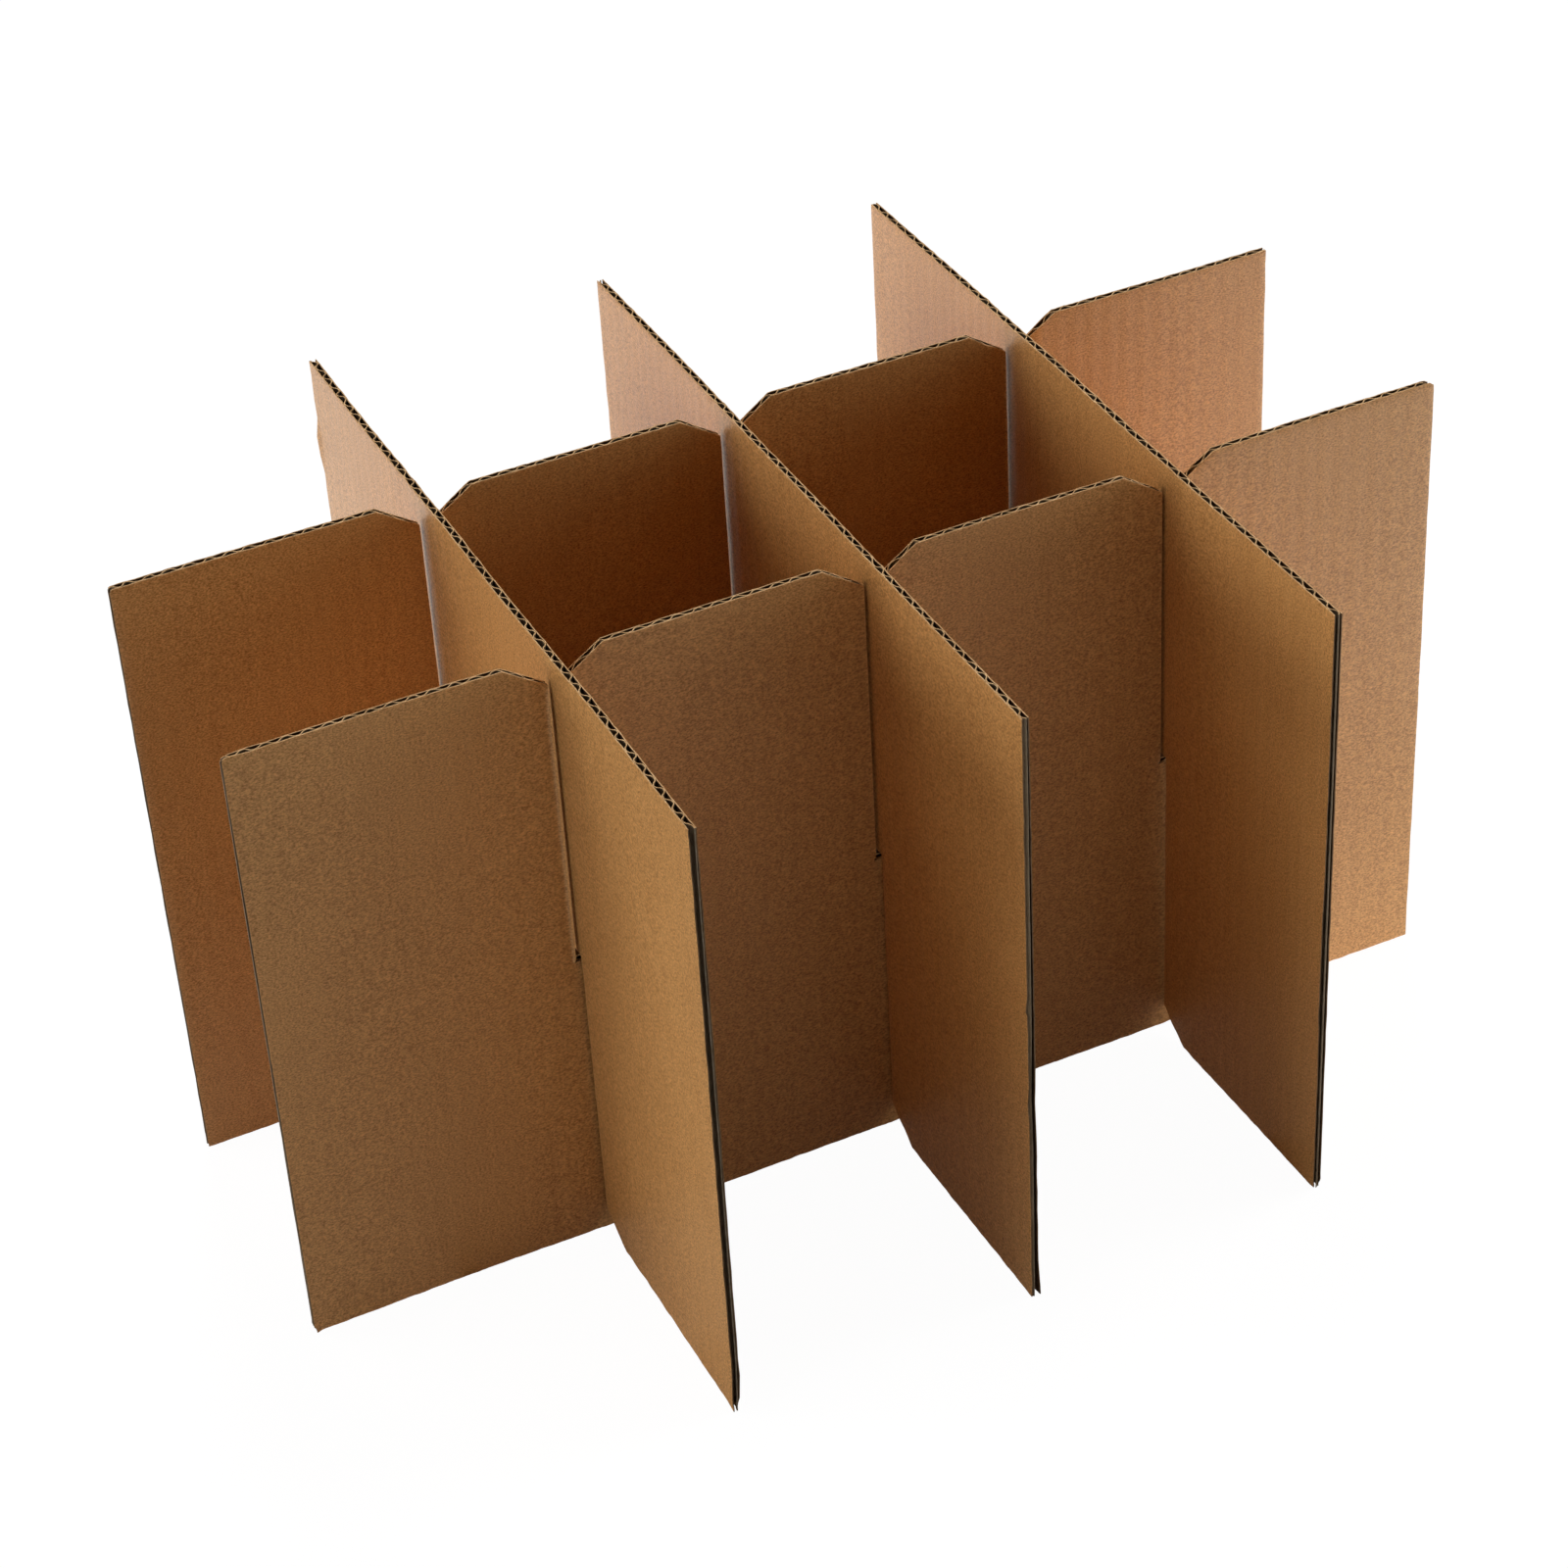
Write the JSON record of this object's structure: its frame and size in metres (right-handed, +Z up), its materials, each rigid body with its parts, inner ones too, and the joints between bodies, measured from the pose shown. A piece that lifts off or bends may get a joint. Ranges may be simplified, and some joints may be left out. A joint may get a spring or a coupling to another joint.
{
  "type": "corrugated cell divider",
  "caption": "Carton divider of slotted corrugated board strips, half-lapped at right angles to form open cells that keep bottles or jars apart.",
  "frame": {"origin": "middle of the footprint, on the surface that the divider stands on", "axes": "+X along the long strips towards the shorter end cells, +Y along the cross strips away from the front, +Z up, out of the mouths of the long strips' slots"},
  "size_m": [0.4018, 0.2918, 0.22],
  "materials": {
    "kraft_liner": "matte brown kraft linerboard with fine fibres and faint flute lines",
    "kraft_medium": "matte recycled brown fluting paper"
  },
  "bodies": {
    "front_long_strip": {"front_long_strip_front_liner": "kraft_liner", "front_long_strip_fluting": "kraft_medium", "front_long_strip_rear_liner": "kraft_liner"},
    "rear_long_strip": {"rear_long_strip_front_liner": "kraft_liner", "rear_long_strip_fluting": "kraft_medium", "rear_long_strip_rear_liner": "kraft_liner"},
    "left_cross_strip": {"left_cross_strip_left_liner": "kraft_liner", "left_cross_strip_fluting": "kraft_medium", "left_cross_strip_right_liner": "kraft_liner"},
    "middle_cross_strip": {"middle_cross_strip_left_liner": "kraft_liner", "middle_cross_strip_fluting": "kraft_medium", "middle_cross_strip_right_liner": "kraft_liner"},
    "right_cross_strip": {"right_cross_strip_left_liner": "kraft_liner", "right_cross_strip_fluting": "kraft_medium", "right_cross_strip_right_liner": "kraft_liner"}
  },
  "joints": [
    {"name": "middle_crossing", "type": "hinge", "parent": "front_long_strip", "child": "middle_cross_strip", "pos_m": [0.0027, -0.0497, 0.11], "axis": [0, 0, 1], "range_deg": [-25, 25]},
    {"name": "left_crossing", "type": "hinge", "parent": "front_long_strip", "child": "left_cross_strip", "pos_m": [-0.0997, -0.0497, 0.11], "axis": [0, 0, 1], "range_deg": [-25, 25]},
    {"name": "right_crossing", "type": "hinge", "parent": "front_long_strip", "child": "right_cross_strip", "pos_m": [0.1051, -0.0497, 0.11], "axis": [0, 0, 1], "range_deg": [-25, 25]},
    {"name": "rear_crossing", "type": "hinge", "parent": "middle_cross_strip", "child": "rear_long_strip", "pos_m": [0.0027, 0.0497, 0.11], "axis": [0, 0, 1], "range_deg": [-25, 25]}
  ],
  "couplings": [
    {"joint": "left_crossing", "follows": "middle_crossing", "ratio": 1},
    {"joint": "right_crossing", "follows": "middle_crossing", "ratio": 1},
    {"joint": "rear_crossing", "follows": "middle_crossing", "ratio": -1}
  ]
}
